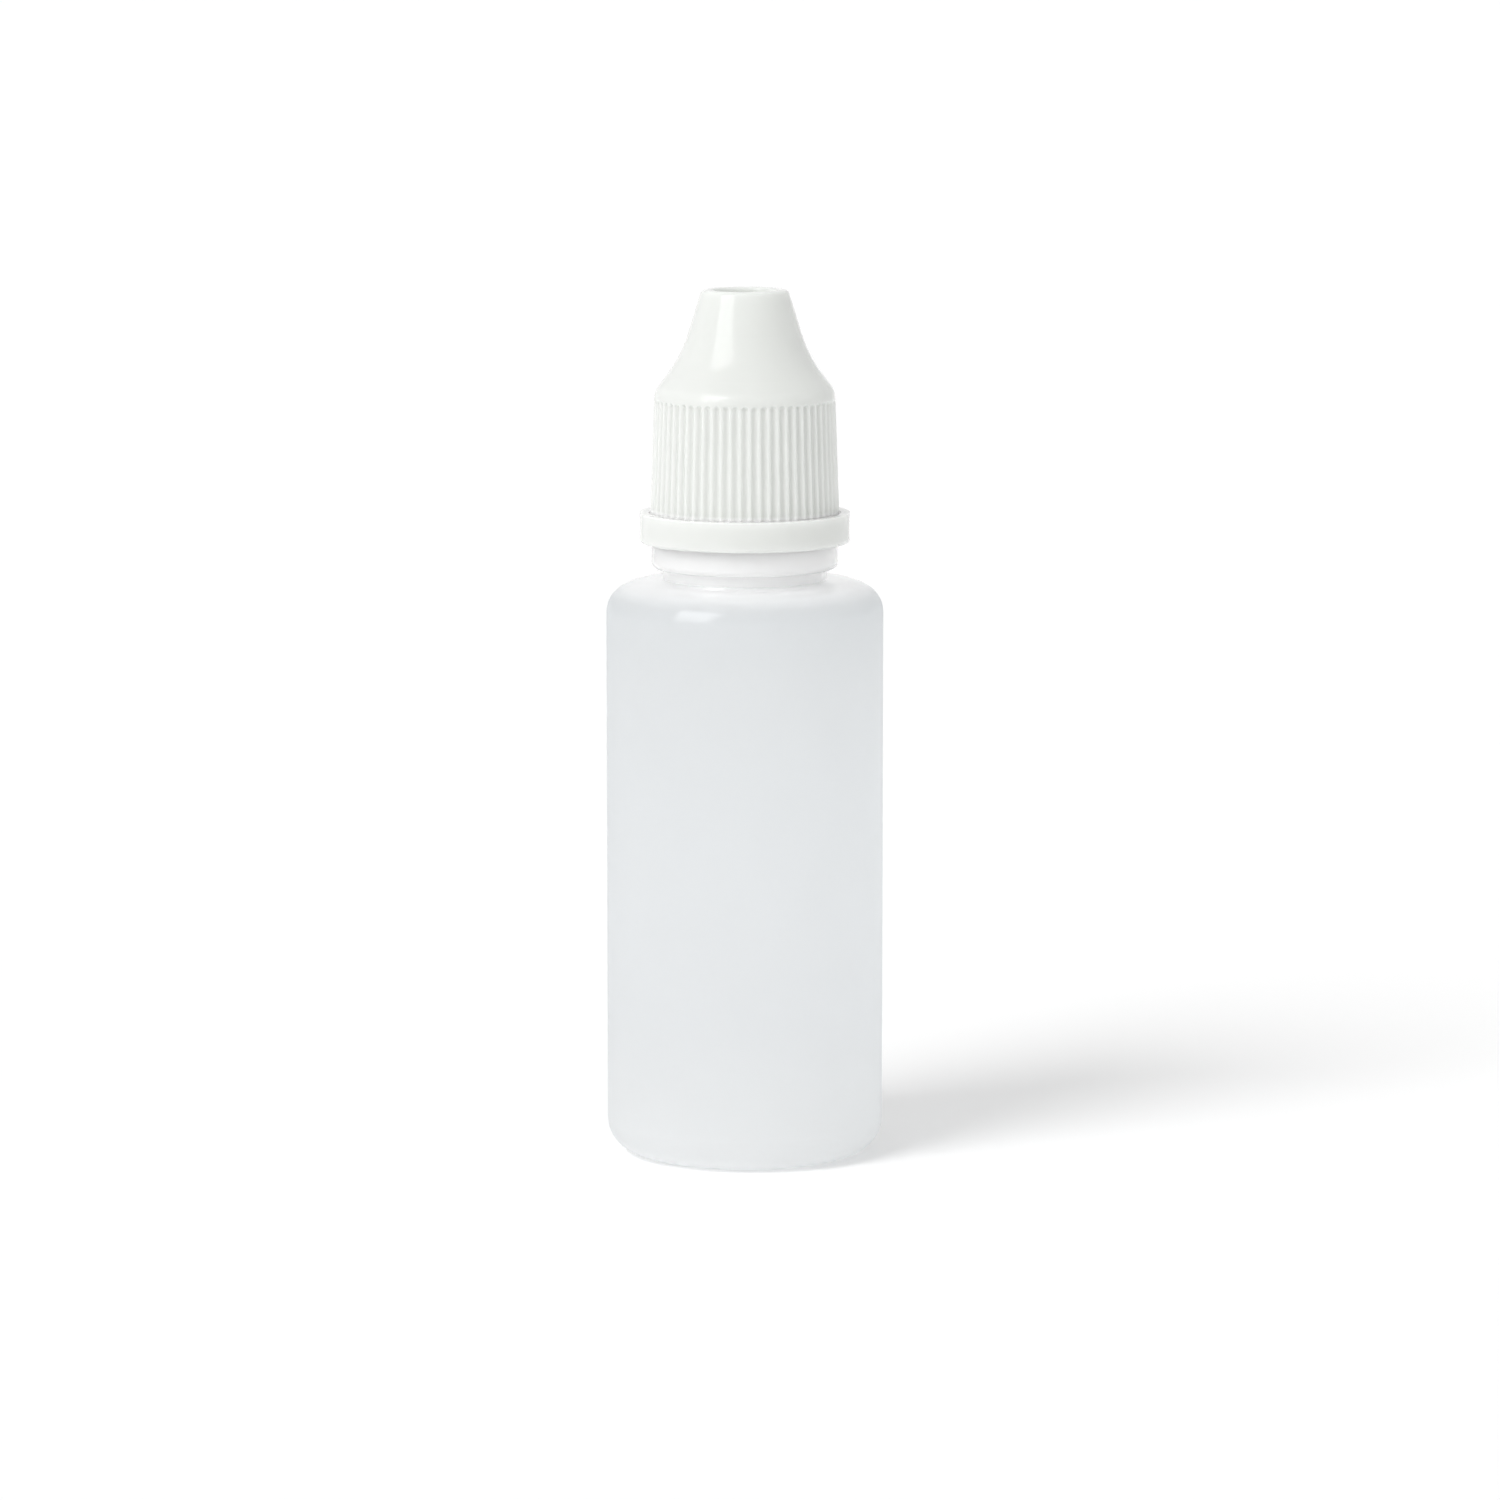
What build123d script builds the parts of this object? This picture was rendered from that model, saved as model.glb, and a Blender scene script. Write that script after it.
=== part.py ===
from build123d import *
from math import atan2, cos, degrees
import os

# A 20 ml squeeze dropper bottle with its dropping tip, screw cap and tamper-evident ring.
# Millimetres, Z up. The origin is the centre of the foot, on the surface the bottle stands on.
# Every piece is round about Z, so most pieces are half sections in XZ turned about Z.

# --- Bottle body -----------------------------------------------------------------------------
BODY_RADIUS = 12.5
WALL = 0.9
FOOT_ROUNDING = 3.0
PUSH_UP_RADIUS = 8.2
PUSH_UP_HEIGHT = 1.0
BASE_THICKNESS = 1.0
SHOULDER_START_Z = 49.05
SHOULDER_TOP_Z = 52.37
SHOULDER_FULLNESS = 0.9  # how far the shoulder curve is drawn up the body's side
SHOULDER_REACH = 0.05  # how near the side its flat top is drawn out

# --- Bottle neck -----------------------------------------------------------------------------
BORE_RADIUS = 4.9
BORE_ROUNDING = 1.2
WAIST_RADIUS = 7.4
COLLAR_RADIUS = 8.41
COLLAR_BOTTOM_Z = 53.34
COLLAR_TOP_Z = 56.0
COLLAR_ROUNDING = 0.55
SNAP_GROOVE_RADIUS = 7.0
BEAD_RADIUS = 8.0
BEAD_BOTTOM_Z = 57.1
BEAD_LAND = 0.2
BEAD_CONE_TOP_Z = 58.5
NECK_RADIUS = 6.1
LIP_Z = 66.5
LIP_CHAMFER = 0.25

# --- Screw thread, right-handed --------------------------------------------------------------
PITCH = 3.0
THREAD_DEPTH = 0.65
THREAD_ROOT_WIDTH = 1.6
THREAD_CREST_WIDTH = 0.6
THREAD_BITE = 0.1  # how deep a ridge is rooted in its wall
RUN_OUT_TURNS = 0.18
NECK_THREAD_TURNS = 1.5
NECK_THREAD_Z = 60.3
CAP_THREAD_TURNS = 1.3
CAP_THREAD_START = 0.3  # turns up the helix from the foot of the neck's ridge
FLANK_PLAY = 0.25  # axial gap under the neck's ridge when the cap is down

# --- Dropping tip ----------------------------------------------------------------------------
PLUG_RADIUS = 4.75
PLUG_LENGTH = 8.0
PLUG_CHAMFER = 0.4
PLUG_CAVITY_RADIUS = 3.7
PLUG_CAVITY_ROOF_Z = 65.0
SEAL_RIB_REACH = 0.2
SEAL_RIB_HEIGHTS = (60.4, 64.2)
FLANGE_RADIUS = 5.9
FLANGE_THICKNESS = 1.0
FLANGE_CHAMFER = 0.2
NOZZLE_BASE_RADIUS = 3.1
NOZZLE_TIP_RADIUS = 1.6
NOZZLE_TOP_Z = 75.4
NOZZLE_TIP_ROUNDING = 0.3
NOZZLE_BASE_ROUNDING = 0.8
ORIFICE_RADIUS = 0.4
ORIFICE_BOTTOM_Z = 67.4
ORIFICE_TOP_Z = 68.2
CHANNEL_BOTTOM_RADIUS = 0.7
CHANNEL_BOTTOM_Z = 68.7
CHANNEL_TOP_RADIUS = 1.05

# --- Cap -------------------------------------------------------------------------------------
SKIRT_BOTTOM_Z = 58.17  # a little below the ring's rim, in the ring's seat
SKIRT_BOTTOM_RADIUS = 8.51
CAP_SHOULDER = (8.13, 69.28)  # radius and height where skirt and flare would meet
CAP_KNEE = (5.75, 72.4)  # where flare and cone would meet
CAP_TOP_RADIUS = 3.88
CAP_TOP_Z = 78.4
CAP_SHOULDER_ROUNDING = 1.8
CAP_FLARE_ROUNDING = 12.4
CAP_RIM_ROUNDING = 0.5
CAP_BORE_RADIUS = 6.95
CAP_MOUTH_CHAMFER = 0.3
CAP_CAVITY_SHOULDER_Z = 68.1
CAP_CAVITY_KNEE = (4.35, 71.6)
CAP_ROOF_RADIUS = 3.2
CAP_ROOF_Z = 75.6
DISH_RADIUS = 2.9
DISH_DEPTH = 1.6
DISH_ROUNDING = 0.25
PIN_RADIUS = 0.6
PIN_LENGTH = 1.1
SOCKET_BOTTOM_Z = 73.9
SOCKET_BORE_RADIUS = 2.05
SOCKET_RADIUS = 2.55
SEAL_LIP_INNER_RADIUS = 4.9
SEAL_LIP_OUTER_RADIUS = 5.5
SEAL_LIP_GAP = 0.15
GRIP_RIBS = 60
GROOVE_HALF_WIDTH = 0.36
GROOVE_V_DEPTH = 0.26  # where the flanks would meet; the rounded valley is shallower
GROOVE_VALLEY_ROUNDING = 0.35
GROOVE_CREST_ROUNDING = 0.15
GROOVE_BRIM = 0.07  # the cutter beyond the groove's edge, rising clear of the skirt
GROOVE_BRIM_RISE = 0.015
GROOVE_CUTTER_TOP = 0.3
GROOVE_TOP_Z = 68.24  # centre of the groove's round end
GROOVE_RUN_OUT = 1.0  # how far the cutter starts below the skirt

# --- Tamper-evident ring ---------------------------------------------------------------------
RING_BOTTOM_Z = 55.66
RING_TOP_Z = 58.37
RING_RADIUS = 9.45
RING_BORE_RADIUS = 8.2
RING_MOUTH_RADIUS = 8.6
RING_MOUTH_DEPTH = 0.54
RING_SEAT_RADIUS = 8.65  # recess in the top that takes the foot of the skirt
RING_SEAT_DEPTH = 0.35
RING_THROAT_RADIUS = 7.75
RING_THROAT_HEIGHT = 0.35
RING_BOTTOM_ROUNDING = 0.3
RING_TOP_ROUNDING = 0.2
SNAP_RIDGE_RADIUS = 7.55
SNAP_RIDGE_TOP_Z = 56.95
SNAP_RIDGE_LAND = 0.25
BRIDGE_STUBS = 8
BRIDGE_RADIUS = 8.15
BRIDGE_WIDTH = 0.5
BRIDGE_DEPTH = 0.35
BRIDGE_HEIGHT = 0.07


def thread_ridge(wall_radius, outward, turns):
    """One helical ridge whose lower end is at z = 0; outward is 1 on a neck and -1 in a cap."""
    run_out_height = PITCH * RUN_OUT_TURNS
    run_out_angle = atan2(THREAD_DEPTH, run_out_height)
    root = wall_radius - outward * THREAD_BITE
    crest = wall_radius + outward * THREAD_DEPTH
    with BuildSketch(Plane.XZ) as section:
        with BuildLine():
            Polyline(
                (root, -THREAD_ROOT_WIDTH / 2),
                (root, THREAD_ROOT_WIDTH / 2),
                (crest, THREAD_CREST_WIDTH / 2),
                (crest, -THREAD_CREST_WIDTH / 2),
                close=True,
            )
        make_face()
    with BuildLine() as full_depth:
        Helix(PITCH, PITCH * turns, wall_radius)
    with BuildLine() as run_out:
        Helix(
            PITCH / cos(run_out_angle),
            run_out_height,
            wall_radius,
            cone_angle=-outward * degrees(run_out_angle),
        )
    with BuildPart() as ending:
        sweep(section.sketch, path=run_out.line, is_frenet=True)
    with BuildPart() as ridge:
        sweep(section.sketch, path=full_depth.line, is_frenet=True)
        add(ending.part.rotate(Axis.X, 180))
        add(ending.part.rotate(Axis.Z, 360 * turns).translate((0, 0, PITCH * turns)))
    return ridge.part


neck_thread = thread_ridge(NECK_RADIUS, 1, NECK_THREAD_TURNS).translate((0, 0, NECK_THREAD_Z))

with BuildPart() as bottle:
    with BuildSketch(Plane.XZ):
        with BuildLine():
            TangentArc((0, PUSH_UP_HEIGHT), (PUSH_UP_RADIUS, 0), tangent=(1, 0))
            Line((PUSH_UP_RADIUS, 0), (BODY_RADIUS - FOOT_ROUNDING, 0))
            TangentArc((BODY_RADIUS - FOOT_ROUNDING, 0), (BODY_RADIUS, FOOT_ROUNDING), tangent=(1, 0))
            Line((BODY_RADIUS, FOOT_ROUNDING), (BODY_RADIUS, SHOULDER_START_Z))
            Bezier(
                (BODY_RADIUS, SHOULDER_START_Z),
                (BODY_RADIUS, SHOULDER_START_Z + SHOULDER_FULLNESS),
                (BODY_RADIUS - SHOULDER_REACH, SHOULDER_TOP_Z),
                (WAIST_RADIUS, SHOULDER_TOP_Z),
            )
            Polyline(
                (WAIST_RADIUS, SHOULDER_TOP_Z),
                (WAIST_RADIUS, COLLAR_BOTTOM_Z),
                (COLLAR_RADIUS - COLLAR_ROUNDING, COLLAR_BOTTOM_Z),
            )
            TangentArc(
                (COLLAR_RADIUS - COLLAR_ROUNDING, COLLAR_BOTTOM_Z),
                (COLLAR_RADIUS, COLLAR_BOTTOM_Z + COLLAR_ROUNDING),
                tangent=(1, 0),
            )
            Polyline(
                (COLLAR_RADIUS, COLLAR_BOTTOM_Z + COLLAR_ROUNDING),
                (COLLAR_RADIUS, COLLAR_TOP_Z),
                (SNAP_GROOVE_RADIUS, COLLAR_TOP_Z),
                (SNAP_GROOVE_RADIUS, BEAD_BOTTOM_Z),
                (BEAD_RADIUS, BEAD_BOTTOM_Z),
                (BEAD_RADIUS, BEAD_BOTTOM_Z + BEAD_LAND),
                (NECK_RADIUS, BEAD_CONE_TOP_Z),
                (NECK_RADIUS, LIP_Z - LIP_CHAMFER),
                (NECK_RADIUS - LIP_CHAMFER, LIP_Z),
                (0, LIP_Z),
                (0, PUSH_UP_HEIGHT),
            )
        make_face()
    revolve(axis=Axis.Z)
    add(neck_thread)
    # The hollow: body, shoulder and bore, with a rounded entry to the bore
    with BuildSketch(Plane.XZ):
        inner_radius = BODY_RADIUS - WALL
        inner_rounding = FOOT_ROUNDING - WALL
        ceiling_z = SHOULDER_TOP_Z - WALL
        with BuildLine():
            TangentArc(
                (0, PUSH_UP_HEIGHT + BASE_THICKNESS), (PUSH_UP_RADIUS, BASE_THICKNESS), tangent=(1, 0)
            )
            Line((PUSH_UP_RADIUS, BASE_THICKNESS), (inner_radius - inner_rounding, BASE_THICKNESS))
            TangentArc(
                (inner_radius - inner_rounding, BASE_THICKNESS),
                (inner_radius, BASE_THICKNESS + inner_rounding),
                tangent=(1, 0),
            )
            Line((inner_radius, BASE_THICKNESS + inner_rounding), (inner_radius, SHOULDER_START_Z))
            Bezier(
                (inner_radius, SHOULDER_START_Z),
                (inner_radius, SHOULDER_START_Z + SHOULDER_FULLNESS),
                (inner_radius - SHOULDER_REACH, ceiling_z),
                (BORE_RADIUS + BORE_ROUNDING, ceiling_z),
            )
            TangentArc(
                (BORE_RADIUS + BORE_ROUNDING, ceiling_z),
                (BORE_RADIUS, ceiling_z + BORE_ROUNDING),
                tangent=(-1, 0),
            )
            Polyline(
                (BORE_RADIUS, ceiling_z + BORE_ROUNDING),
                (BORE_RADIUS, LIP_Z),
                (0, LIP_Z),
                (0, PUSH_UP_HEIGHT + BASE_THICKNESS),
            )
        make_face()
    revolve(axis=Axis.Z, mode=Mode.SUBTRACT)
bottle.part.label = "bottle"

with BuildPart() as dropper_tip:
    flange_top_z = LIP_Z + FLANGE_THICKNESS
    with BuildSketch(Plane.XZ) as tip_section:
        with BuildLine():
            Polyline(
                (PLUG_CAVITY_RADIUS, LIP_Z - PLUG_LENGTH),
                (PLUG_RADIUS - PLUG_CHAMFER, LIP_Z - PLUG_LENGTH),
                (PLUG_RADIUS, LIP_Z - PLUG_LENGTH + PLUG_CHAMFER),
                (PLUG_RADIUS, LIP_Z),
                (FLANGE_RADIUS, LIP_Z),
                (FLANGE_RADIUS, flange_top_z - FLANGE_CHAMFER),
                (FLANGE_RADIUS - FLANGE_CHAMFER, flange_top_z),
                (NOZZLE_BASE_RADIUS, flange_top_z),
                (NOZZLE_TIP_RADIUS, NOZZLE_TOP_Z),
                (CHANNEL_TOP_RADIUS, NOZZLE_TOP_Z),
                (CHANNEL_BOTTOM_RADIUS, CHANNEL_BOTTOM_Z),
                (ORIFICE_RADIUS, ORIFICE_TOP_Z),
                (ORIFICE_RADIUS, ORIFICE_BOTTOM_Z),
                (PLUG_CAVITY_RADIUS, PLUG_CAVITY_ROOF_Z),
                close=True,
            )
        make_face()
        nozzle_edge = tip_section.vertices().group_by(Axis.Y)[-1].sort_by(Axis.X)[-1]
        nozzle_base = tip_section.vertices().sort_by_distance((NOZZLE_BASE_RADIUS, flange_top_z))[0]
        fillet(nozzle_edge, NOZZLE_TIP_ROUNDING)
        fillet(nozzle_base, NOZZLE_BASE_ROUNDING)
    revolve(axis=Axis.Z)
    with BuildSketch(Plane.XZ):
        with Locations(*[(PLUG_RADIUS, height) for height in SEAL_RIB_HEIGHTS]):
            Circle(SEAL_RIB_REACH)
    revolve(axis=Axis.Z)
dropper_tip.part.label = "dropper_tip"

# The cutter for one grip groove: a valley with rounded crests, drawn across the groove with Y
# pointing out of the skirt, run down the skirt's slope and turned about Y for its round end
skirt_slope = (CAP_SHOULDER[0] - SKIRT_BOTTOM_RADIUS) / (CAP_SHOULDER[1] - SKIRT_BOTTOM_Z)
down_the_skirt = Vector(-skirt_slope, 0, -1)
groove_top = Vector(CAP_SHOULDER[0], 0, CAP_SHOULDER[1])
groove_top = groove_top + down_the_skirt * (CAP_SHOULDER[1] - GROOVE_TOP_Z)
groove_length = down_the_skirt.length * (GROOVE_TOP_Z - SKIRT_BOTTOM_Z + GROOVE_RUN_OUT)
across_the_groove = Plane(groove_top, x_dir=(0, 1, 0), z_dir=down_the_skirt)
brim_end = GROOVE_HALF_WIDTH + GROOVE_BRIM
with BuildPart() as groove_cutter:
    with BuildSketch(across_the_groove) as groove_section:
        with BuildLine():
            FilletPolyline(
                (-brim_end, GROOVE_BRIM_RISE),
                (-GROOVE_HALF_WIDTH, 0),
                (0, -GROOVE_V_DEPTH),
                (GROOVE_HALF_WIDTH, 0),
                (brim_end, GROOVE_BRIM_RISE),
                radius=(GROOVE_CREST_ROUNDING, GROOVE_VALLEY_ROUNDING, GROOVE_CREST_ROUNDING),
            )
            Polyline(
                (brim_end, GROOVE_BRIM_RISE),
                (brim_end, GROOVE_CUTTER_TOP),
                (-brim_end, GROOVE_CUTTER_TOP),
                (-brim_end, GROOVE_BRIM_RISE),
            )
        make_face()
    extrude(amount=groove_length)
    with BuildSketch(across_the_groove):
        add(groove_section.sketch_local)
        split(bisect_by=Plane.YZ, keep=Keep.TOP)
    revolve(axis=Axis(groove_top, across_the_groove.y_dir))

# The cap's ridge runs just under the neck's, on the same helix
flank_spacing = (THREAD_ROOT_WIDTH + THREAD_CREST_WIDTH) / 2 + FLANK_PLAY
cap_thread_z = NECK_THREAD_Z + PITCH * CAP_THREAD_START - flank_spacing
cap_thread = thread_ridge(CAP_BORE_RADIUS, -1, CAP_THREAD_TURNS)
cap_thread = cap_thread.rotate(Axis.Z, 360 * CAP_THREAD_START).translate((0, 0, cap_thread_z))

with BuildPart() as cap:
    with BuildSketch(Plane.XZ):
        with BuildLine():
            FilletPolyline(
                (SKIRT_BOTTOM_RADIUS, SKIRT_BOTTOM_Z),
                CAP_SHOULDER,
                CAP_KNEE,
                (CAP_TOP_RADIUS, CAP_TOP_Z),
                (0, CAP_TOP_Z),
                radius=(CAP_SHOULDER_ROUNDING, CAP_FLARE_ROUNDING, CAP_RIM_ROUNDING),
            )
            Polyline((0, CAP_TOP_Z), (0, SKIRT_BOTTOM_Z), (SKIRT_BOTTOM_RADIUS, SKIRT_BOTTOM_Z))
        make_face()
    revolve(axis=Axis.Z)
    # Cavity over the neck and nozzle
    with BuildSketch(Plane.XZ):
        with BuildLine():
            Polyline(
                (0, SKIRT_BOTTOM_Z),
                (CAP_BORE_RADIUS + CAP_MOUTH_CHAMFER, SKIRT_BOTTOM_Z),
                (CAP_BORE_RADIUS, SKIRT_BOTTOM_Z + CAP_MOUTH_CHAMFER),
                (CAP_BORE_RADIUS, CAP_CAVITY_SHOULDER_Z),
                CAP_CAVITY_KNEE,
                (CAP_ROOF_RADIUS, CAP_ROOF_Z),
                (0, CAP_ROOF_Z),
                close=True,
            )
        make_face()
    revolve(axis=Axis.Z, mode=Mode.SUBTRACT)
    add(cap_thread)
    # Pin and socket that close the nozzle
    with BuildSketch(Plane.XY.offset(CAP_ROOF_Z - PIN_LENGTH)):
        Circle(PIN_RADIUS)
    extrude(amount=PIN_LENGTH)
    with BuildSketch(Plane.XY.offset(SOCKET_BOTTOM_Z)):
        Circle(SOCKET_RADIUS)
        Circle(SOCKET_BORE_RADIUS, mode=Mode.SUBTRACT)
    extrude(amount=CAP_ROOF_Z - SOCKET_BOTTOM_Z)
    # Lip that presses on the tip's flange
    with BuildSketch(Plane.XY.offset(flange_top_z + SEAL_LIP_GAP)):
        Circle(SEAL_LIP_OUTER_RADIUS)
        Circle(SEAL_LIP_INNER_RADIUS, mode=Mode.SUBTRACT)
    extrude(until=Until.NEXT)
    # Dish in the top
    with BuildSketch(Plane.XY.offset(CAP_TOP_Z)):
        Circle(DISH_RADIUS)
    extrude(amount=-DISH_DEPTH, mode=Mode.SUBTRACT)
    dish_mouth = cap.edges().filter_by(GeomType.CIRCLE).group_by(Axis.Z)[-1].sort_by(SortBy.RADIUS)[0]
    fillet(dish_mouth, DISH_ROUNDING)
    # Grip grooves
    with PolarLocations(0, GRIP_RIBS):
        add(groove_cutter.part, mode=Mode.SUBTRACT)
cap.part.label = "cap"

with BuildPart() as tamper_ring:
    ring_seat_z = RING_TOP_Z - RING_SEAT_DEPTH
    with BuildSketch(Plane.XZ) as ring_section:
        with BuildLine():
            Polyline(
                (RING_RADIUS, RING_BOTTOM_Z),
                (RING_RADIUS, RING_TOP_Z),
                (RING_SEAT_RADIUS, RING_TOP_Z),
                (RING_SEAT_RADIUS, ring_seat_z),
                (RING_THROAT_RADIUS, ring_seat_z),
                (RING_THROAT_RADIUS, ring_seat_z - RING_THROAT_HEIGHT),
                (RING_BORE_RADIUS, ring_seat_z - RING_THROAT_HEIGHT),
                (RING_BORE_RADIUS, SNAP_RIDGE_TOP_Z),
                (SNAP_RIDGE_RADIUS, SNAP_RIDGE_TOP_Z),
                (SNAP_RIDGE_RADIUS, SNAP_RIDGE_TOP_Z - SNAP_RIDGE_LAND),
                (RING_MOUTH_RADIUS, RING_BOTTOM_Z + RING_MOUTH_DEPTH),
                (RING_MOUTH_RADIUS, RING_BOTTOM_Z),
                close=True,
            )
        make_face()
        outer_corners = ring_section.vertices().group_by(Axis.X)[-1].sort_by(Axis.Y)
        fillet(outer_corners[0], RING_BOTTOM_ROUNDING)
        fillet(outer_corners[-1], RING_TOP_ROUNDING)
    revolve(axis=Axis.Z)
    # Stubs of the broken bridges to the cap
    with BuildSketch(Plane.XY.offset(ring_seat_z)):
        with PolarLocations(BRIDGE_RADIUS, BRIDGE_STUBS):
            Rectangle(BRIDGE_DEPTH, BRIDGE_WIDTH)
    extrude(amount=BRIDGE_HEIGHT)
tamper_ring.part.label = "tamper_ring"

os.makedirs("parts", exist_ok=True)
export_step(bottle.part, "parts/bottle.step")
export_step(dropper_tip.part, "parts/dropper_tip.step")
export_step(cap.part, "parts/cap.step")
export_step(tamper_ring.part, "parts/tamper_ring.step")
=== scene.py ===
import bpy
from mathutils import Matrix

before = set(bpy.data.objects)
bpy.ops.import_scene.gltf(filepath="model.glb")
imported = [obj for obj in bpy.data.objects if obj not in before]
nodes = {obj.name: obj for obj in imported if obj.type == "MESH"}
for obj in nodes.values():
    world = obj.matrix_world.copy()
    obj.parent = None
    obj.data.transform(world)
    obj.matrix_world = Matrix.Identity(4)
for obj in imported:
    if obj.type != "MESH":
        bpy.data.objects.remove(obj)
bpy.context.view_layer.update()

from math import cos, pi, radians, sin

import bpy
from mathutils import Vector

scene = bpy.context.scene

# Lengths are in metres. Azimuths are counted from the camera's side, positive to the right.

# --- Stage ---------------------------------------------------------------------------------
FLOOR_HALF_WIDTH = 6.0
FLOOR_MOTTLE_SCALE = 6.0
FLOOR_DARKEST = 0.985
FLOOR_PALEST = 0.995
FLOOR_ROUGHNESS = 0.9

CAMERA_DISTANCE = 0.5834
CAMERA_HEIGHT = 0.1217
CAMERA_SIDE = 0.00046
CAMERA_TILT = radians(8.29)
CAMERA_LENS = 156.3
SENSOR_WIDTH = 36.0

HORIZON_BRIGHTNESS = 1.0
ZENITH_BRIGHTNESS = 0.68
SIDES_LEFT_OVER = 0.72  # what stays of that brightness straight to the left and right

KEY_STRENGTH = 1.4
KEY_AZIMUTH = radians(-45)
KEY_ELEVATION = radians(42)
KEY_SPREAD = radians(28)

SOFTBOX_AZIMUTH = radians(-46)
SOFTBOX_ELEVATION = radians(34)
SOFTBOX_DISTANCE = 1.2
SOFTBOX_WIDTH = 0.68
SOFTBOX_HEIGHT = 0.85
SOFTBOX_POWER = 13.0


# --- Nodes ---------------------------------------------------------------------------------
def node_material(name):
    material = bpy.data.materials.new(name)
    material.use_nodes = True
    return material, material.node_tree.nodes, material.node_tree.links


def grey(level):
    return (level, level, level)


def feed(links, source, socket):
    """Links source to socket if it is an output, and sets it there if it is a colour or number."""
    if isinstance(source, bpy.types.NodeSocket):
        links.new(source, socket)
    elif isinstance(source, tuple):
        socket.default_value = (*source, 1)
    else:
        socket.default_value = source


def mix_colours(tree, links, share, first, second, blend="MIX"):
    """Goes from first to second as share goes from 0 to 1."""
    mix = tree.new("ShaderNodeMix")
    mix.data_type = "RGBA"
    mix.blend_type = blend
    feed(links, share, mix.inputs["Factor"])
    feed(links, first, mix.inputs["A"])
    feed(links, second, mix.inputs["B"])
    return mix.outputs["Result"]


def between(tree, links, low, high, value, full=1.0):
    """Goes from low to high as value goes from 0 to full."""
    remap = tree.new("ShaderNodeMapRange")
    remap.inputs["From Max"].default_value = full
    remap.inputs["To Min"].default_value = low
    remap.inputs["To Max"].default_value = high
    links.new(value, remap.inputs["Value"])
    return remap.outputs["Result"]


def product(tree, links, first, second):
    times = tree.new("ShaderNodeMath")
    times.operation = "MULTIPLY"
    links.new(first, times.inputs[0])
    links.new(second, times.inputs[1])
    return times.outputs["Value"]


def noise(tree, links, coordinates, scale):
    place = tree.new("ShaderNodeTexCoord")
    texture = tree.new("ShaderNodeTexNoise")
    texture.inputs["Scale"].default_value = scale
    links.new(place.outputs[coordinates], texture.inputs["Vector"])
    return texture.outputs["Fac"]


# --- Floor, camera and light ---------------------------------------------------------------
def floor_material():
    """Matt white board with a faint mottle."""
    material, tree, links = node_material("floor_white")
    shader = tree["Principled BSDF"]
    mottle = noise(tree, links, "Generated", FLOOR_MOTTLE_SCALE)
    white = mix_colours(tree, links, mottle, grey(FLOOR_DARKEST), grey(FLOOR_PALEST))
    links.new(white, shader.inputs["Base Color"])
    shader.inputs["Roughness"].default_value = FLOOR_ROUGHNESS
    shader.inputs["Specular IOR Level"].default_value = 0.0
    return material


def add_floor():
    mesh = bpy.data.meshes.new("floor")
    h = FLOOR_HALF_WIDTH
    mesh.from_pydata([(-h, -h, 0), (h, -h, 0), (h, h, 0), (-h, h, 0)], [], [(0, 1, 2, 3)])
    floor = bpy.data.objects.new("floor", mesh)
    scene.collection.objects.link(floor)
    floor.data.materials.append(floor_material())


def add_camera():
    camera = bpy.data.objects.new("camera", bpy.data.cameras.new("camera"))
    camera.data.lens = CAMERA_LENS
    camera.data.sensor_width = SENSOR_WIDTH
    camera.location = (CAMERA_SIDE, -CAMERA_DISTANCE, CAMERA_HEIGHT)
    camera.rotation_euler = (pi / 2 - CAMERA_TILT, 0, 0)
    scene.collection.objects.link(camera)
    scene.camera = camera


def add_world():
    """White room, darker overhead and to the left and right."""
    world = bpy.data.worlds.new("studio")
    world.use_nodes = True
    tree, links = world.node_tree.nodes, world.node_tree.links
    place = tree.new("ShaderNodeTexCoord")
    split = tree.new("ShaderNodeSeparateXYZ")
    links.new(place.outputs["Generated"], split.inputs["Vector"])
    fade = between(tree, links, HORIZON_BRIGHTNESS, ZENITH_BRIGHTNESS, split.outputs["Z"])
    sideways = product(tree, links, split.outputs["X"], split.outputs["X"])
    dim = between(tree, links, 1.0, SIDES_LEFT_OVER, sideways)
    links.new(product(tree, links, fade, dim), tree["Background"].inputs["Strength"])
    tree["Background"].inputs["Color"].default_value = (*grey(1), 1)
    scene.world = world


def direction(azimuth, elevation):
    return Vector(
        (sin(azimuth) * cos(elevation), -cos(azimuth) * cos(elevation), sin(elevation))
    )


def add_key():
    """A broad, soft sun from the upper left. It lights without showing in the gloss."""
    sun = bpy.data.objects.new("key", bpy.data.lights.new("key", "SUN"))
    sun.data.energy = KEY_STRENGTH
    sun.data.angle = KEY_SPREAD
    towards = direction(KEY_AZIMUTH, KEY_ELEVATION)
    sun.rotation_euler = towards.to_track_quat("Z", "Y").to_euler()
    sun.visible_glossy = False
    scene.collection.objects.link(sun)


def add_softbox():
    """A tall panel, left of the camera, that shows as the sharp highlights on cap and shoulder."""
    panel = bpy.data.objects.new("softbox", bpy.data.lights.new("softbox", "AREA"))
    panel.data.shape = "RECTANGLE"
    panel.data.size = SOFTBOX_WIDTH
    panel.data.size_y = SOFTBOX_HEIGHT
    panel.data.energy = SOFTBOX_POWER
    towards = direction(SOFTBOX_AZIMUTH, SOFTBOX_ELEVATION)
    panel.location = towards * SOFTBOX_DISTANCE
    panel.rotation_euler = towards.to_track_quat("Z", "Y").to_euler()
    panel.visible_diffuse = False
    panel.visible_transmission = False
    scene.collection.objects.link(panel)


add_floor()
add_camera()
add_world()
add_key()
add_softbox()
scene.view_settings.view_transform = "Standard"


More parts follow.
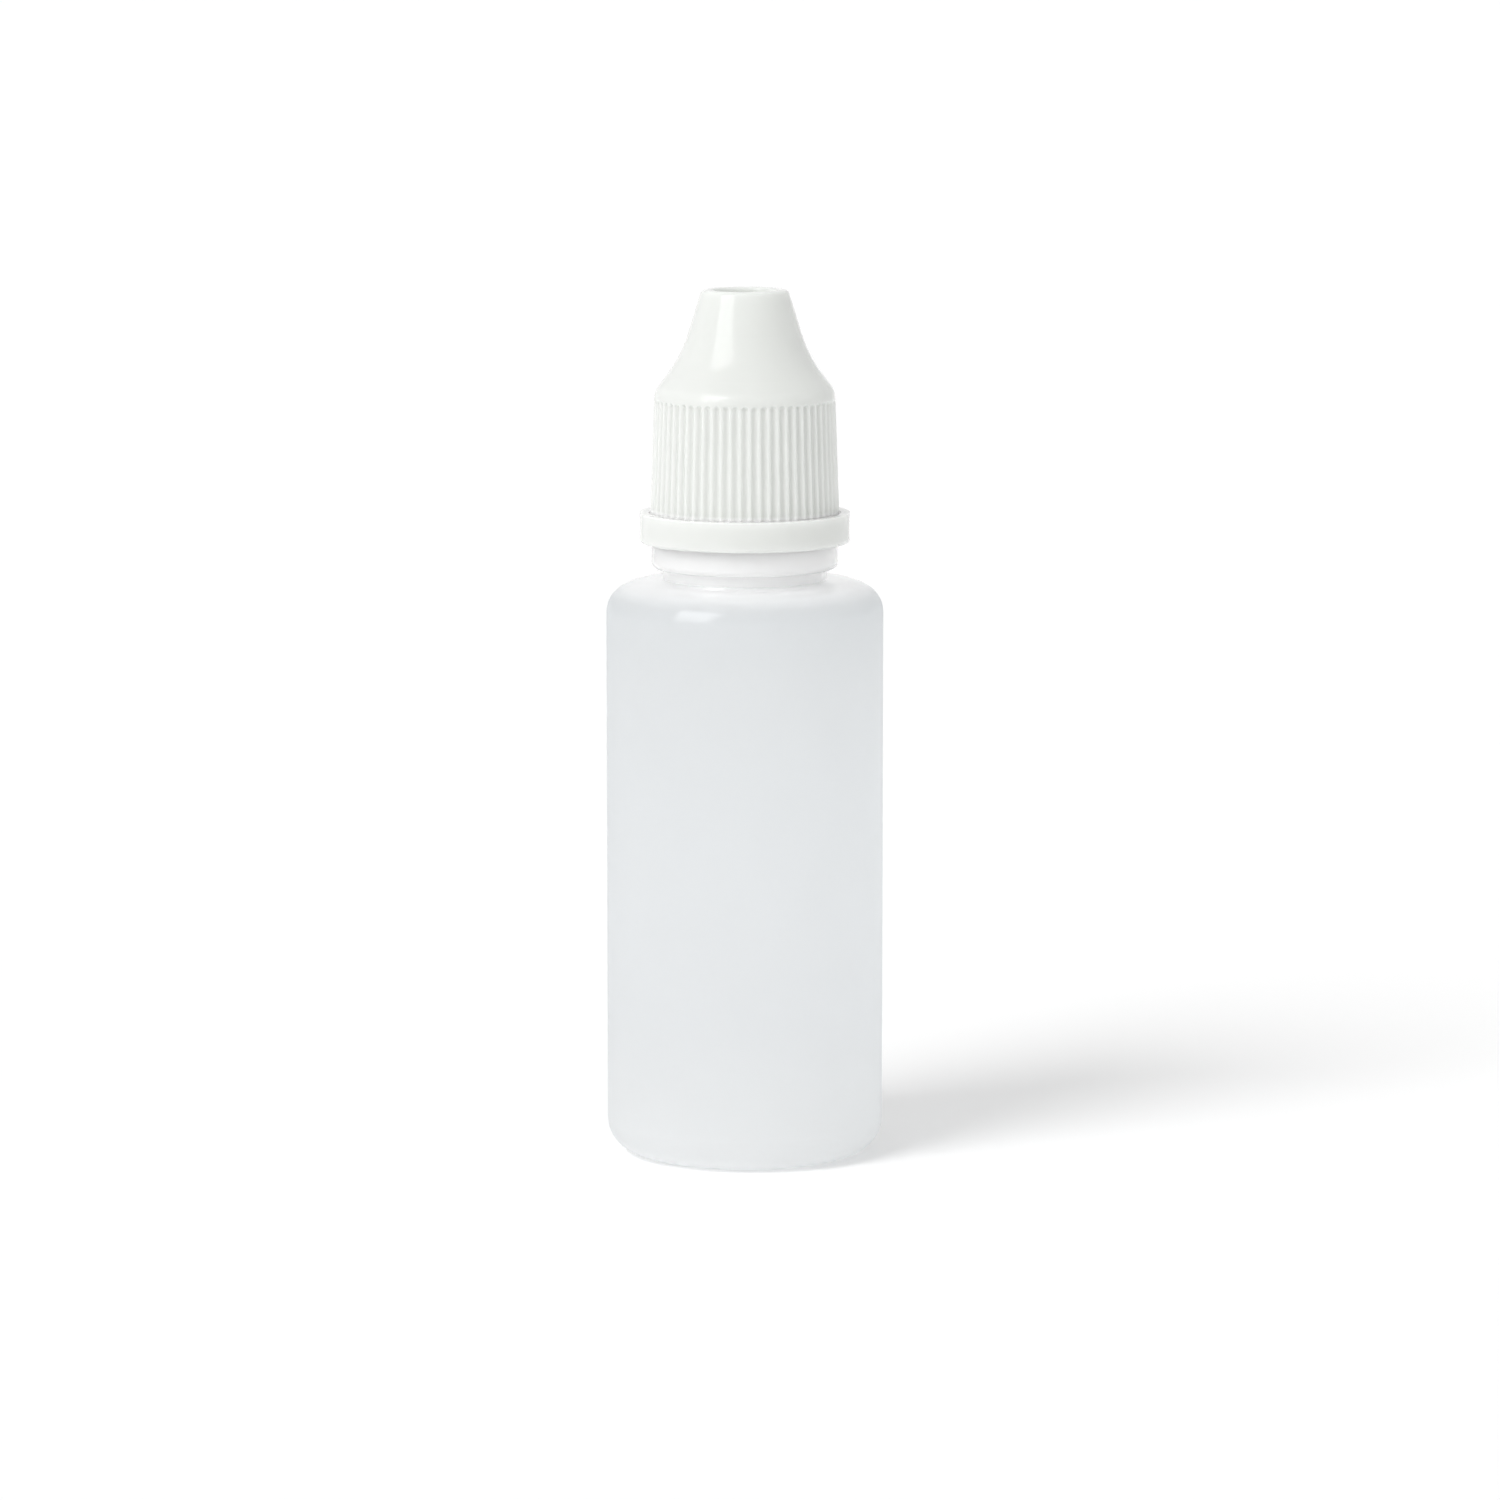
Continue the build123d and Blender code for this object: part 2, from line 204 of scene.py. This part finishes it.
# --- Colours -------------------------------------------------------------------------------
def step(first, second, start, end, last):
    """Stops for first up to start and second from end on, where last is the end of the ramp."""
    return ((0.0, first), (start, first), (end, second), (last, second))


LIP_HEIGHT = 0.0665
CAP_HEIGHT = 0.0784
CAP_RADIUS = 0.0086
RING_RADIUS = 0.00945

# Stand-ins for the light in the photo: the bottle's tint by height, and the paler white where
# light would otherwise be lost inside the cap and ring and in the seam between them.
# Painted light: a near-white neck, so the collar under the ring does not fall into shade.
NECK_PAINTED_LIGHT = (0.99, 0.99, 0.986)
# Painted light and shade on the bottle by height: lightest at the foot, a painted shade band over
# the shoulder that is darkest at 0.0514, and the painted light of the neck above it.
BOTTLE_PAINTED_LIGHT_AND_SHADE = (
    (0.0, (0.988, 0.992, 0.994)),
    (0.004, (0.985, 0.99, 0.992)),
    (0.014, (0.964, 0.971, 0.976)),
    (0.035, (0.963, 0.971, 0.976)),
    (0.044, (0.969, 0.976, 0.98)),
    (0.0485, (0.961, 0.97, 0.975)),
    (0.0502, (0.949, 0.96, 0.967)),
    (0.0514, (0.938, 0.948, 0.952)),
    (0.053, NECK_PAINTED_LIGHT),
    (LIP_HEIGHT, NECK_PAINTED_LIGHT),
)
BODY_GLOW = 0.84
NECK_GLOW = 0.06
BOTTLE_GLOWS = step(grey(BODY_GLOW), grey(NECK_GLOW), 0.0505, 0.0526, LIP_HEIGHT)
TIP_TINT = (0.98, 0.985, 0.985)
TIP_GLOW = 0.4

WHITE_PP = (0.742, 0.756, 0.734)
# Painted light: a paler copy of the cap's white, laid where the inside of the cap and ring and the
# seam between them would be in shade.
PAINTED_LIGHT_PP = (0.97, 0.972, 0.966)
# Painted light inside the cap, within 7.3 mm of the axis, over the cap's white.
CAP_PAINTED_LIGHT = step(PAINTED_LIGHT_PP, WHITE_PP, 0.0073, 0.0077, CAP_RADIUS)
# Painted light inside the ring, within 8.7 mm of the axis, so the seam to the skirt does not fall
# into shade.
RING_PAINTED_LIGHT = step(PAINTED_LIGHT_PP, WHITE_PP, 0.0087, 0.009, RING_RADIUS)
# How much of the cap's painted light inside shows: all of it below the top of the skirt, none
# above.
SKIRT_PAINTED_LIGHT_SHARE = step(grey(1), grey(0), 0.0682, 0.0686, CAP_HEIGHT)
# Painted light at the foot of the skirt, below 58.3 mm, where the seam to the ring would be in
# shade.
FOOT_PAINTED_LIGHT_SHARE = step(grey(1), grey(0), 0.0583, 0.0588, CAP_HEIGHT)

# --- Plastics ------------------------------------------------------------------------------
PLASTIC_IOR = 1.5
MOTTLE_SCALE = 300.0
MOTTLE_DARKEST = 0.985
GRAIN_SCALE = 3000.0
COAT_ROUGHNESS = 0.08
HEIGHT = (0, 0, 1)
RADIUS = (1, 1, 0)


def along(tree, links, measure, stops):
    """Colour ramp over the HEIGHT above the foot or the RADIUS from the axis. stops are
    (length, colour), in rising order."""
    place = tree.new("ShaderNodeTexCoord")
    kept = tree.new("ShaderNodeVectorMath")
    kept.operation = "MULTIPLY"
    kept.inputs[1].default_value = measure
    links.new(place.outputs["Object"], kept.inputs[0])
    size = tree.new("ShaderNodeVectorMath")
    size.operation = "LENGTH"
    links.new(kept.outputs["Vector"], size.inputs[0])
    last = stops[-1][0]
    ramp = tree.new("ShaderNodeValToRGB")
    ramp.color_ramp.interpolation = "EASE"
    while len(ramp.color_ramp.elements) < len(stops):
        ramp.color_ramp.elements.new(1.0)
    for element, (stop, colour) in zip(ramp.color_ramp.elements, stops):
        element.position = stop / last
        element.color = (*colour, 1)
    links.new(between(tree, links, 0.0, 1.0, size.outputs["Value"], last), ramp.inputs["Fac"])
    return ramp.outputs["Color"]


# A material's colour or share is made by one of these: a function of its nodes and links.
def evenly(value):
    return lambda tree, links: value


def by_height(stops):
    return lambda tree, links: along(tree, links, HEIGHT, stops)


def by_radius(stops):
    return lambda tree, links: along(tree, links, RADIUS, stops)


def cap_white_and_painted_light(tree, links):
    """White outside, with painted light inside the skirt and at its foot: a paler white where the
    inside of the cap and its seam to the ring would be in shade.
    """
    inside = along(tree, links, RADIUS, CAP_PAINTED_LIGHT)
    skirt = along(tree, links, HEIGHT, SKIRT_PAINTED_LIGHT_SHARE)
    foot = along(tree, links, HEIGHT, FOOT_PAINTED_LIGHT_SHARE)
    return mix_colours(tree, links, foot, mix_colours(tree, links, skirt, WHITE_PP, inside), PAINTED_LIGHT_PP)


def plastic(name, colour, roughness, shine, reach, grain_depth):
    """Moulded plastic with a faint mottle and a fine grain. roughness is its least and most, and
    reach is how far light wanders in it."""
    material, tree, links = node_material(name)
    shader = tree["Principled BSDF"]
    mottle = noise(tree, links, "Object", MOTTLE_SCALE)
    dulling = mix_colours(tree, links, mottle, grey(MOTTLE_DARKEST), grey(1))
    tint = mix_colours(tree, links, 1.0, colour(tree, links), dulling, "MULTIPLY")
    links.new(tint, shader.inputs["Base Color"])
    links.new(between(tree, links, *roughness, mottle), shader.inputs["Roughness"])
    bump = tree.new("ShaderNodeBump")
    bump.inputs["Strength"].default_value = 1.0
    bump.inputs["Distance"].default_value = grain_depth
    links.new(noise(tree, links, "Object", GRAIN_SCALE), bump.inputs["Height"])
    links.new(bump.outputs["Normal"], shader.inputs["Normal"])
    shader.inputs["IOR"].default_value = PLASTIC_IOR
    shader.inputs["Specular IOR Level"].default_value = shine
    shader.inputs["Subsurface Weight"].default_value = 1.0
    shader.inputs["Subsurface Radius"].default_value = grey(1)
    shader.inputs["Subsurface Scale"].default_value = reach
    return material


def translucent_plastic(name, colour, glow, **finish):
    """Milky plastic that passes part of the light that falls on it, which is what glow makes."""
    material = plastic(name, colour, **finish)
    tree, links = material.node_tree.nodes, material.node_tree.links
    shader = tree["Principled BSDF"]
    shader.inputs["Coat Weight"].default_value = 1.0
    shader.inputs["Coat Roughness"].default_value = COAT_ROUGHNESS
    through = tree.new("ShaderNodeBsdfTranslucent")
    links.new(shader.inputs["Base Color"].links[0].from_socket, through.inputs["Color"])
    blend = tree.new("ShaderNodeMixShader")
    feed(links, glow(tree, links), blend.inputs["Fac"])
    links.new(shader.outputs["BSDF"], blend.inputs[1])
    links.new(through.outputs["BSDF"], blend.inputs[2])
    links.new(blend.outputs["Shader"], tree["Material Output"].inputs["Surface"])
    return material


def assign(node, material):
    for slot in nodes[node].material_slots:
        slot.material = material


bottle_ldpe = translucent_plastic(
    "ldpe",
    by_height(BOTTLE_PAINTED_LIGHT_AND_SHADE),
    by_height(BOTTLE_GLOWS),
    roughness=(0.1, 0.14),
    shine=1.0,
    reach=0.004,
    grain_depth=1e-6,
)
tip_ldpe = translucent_plastic(
    "tip_ldpe",
    evenly(TIP_TINT),
    evenly(TIP_GLOW),
    roughness=(0.2, 0.26),
    shine=0.5,
    reach=0.004,
    grain_depth=2e-6,
)
cap_pp = plastic(
    "cap_pp", cap_white_and_painted_light, roughness=(0.07, 0.11), shine=0.16, reach=0.0009, grain_depth=2e-7
)
ring_pp = plastic(
    "ring_pp",
    by_radius(RING_PAINTED_LIGHT),
    roughness=(0.07, 0.11),
    shine=0.16,
    reach=0.0015,
    grain_depth=2e-7,
)
assign("bottle", bottle_ldpe)
assign("dropper_tip", tip_ldpe)
assign("cap", cap_pp)
assign("tamper_ring", ring_pp)
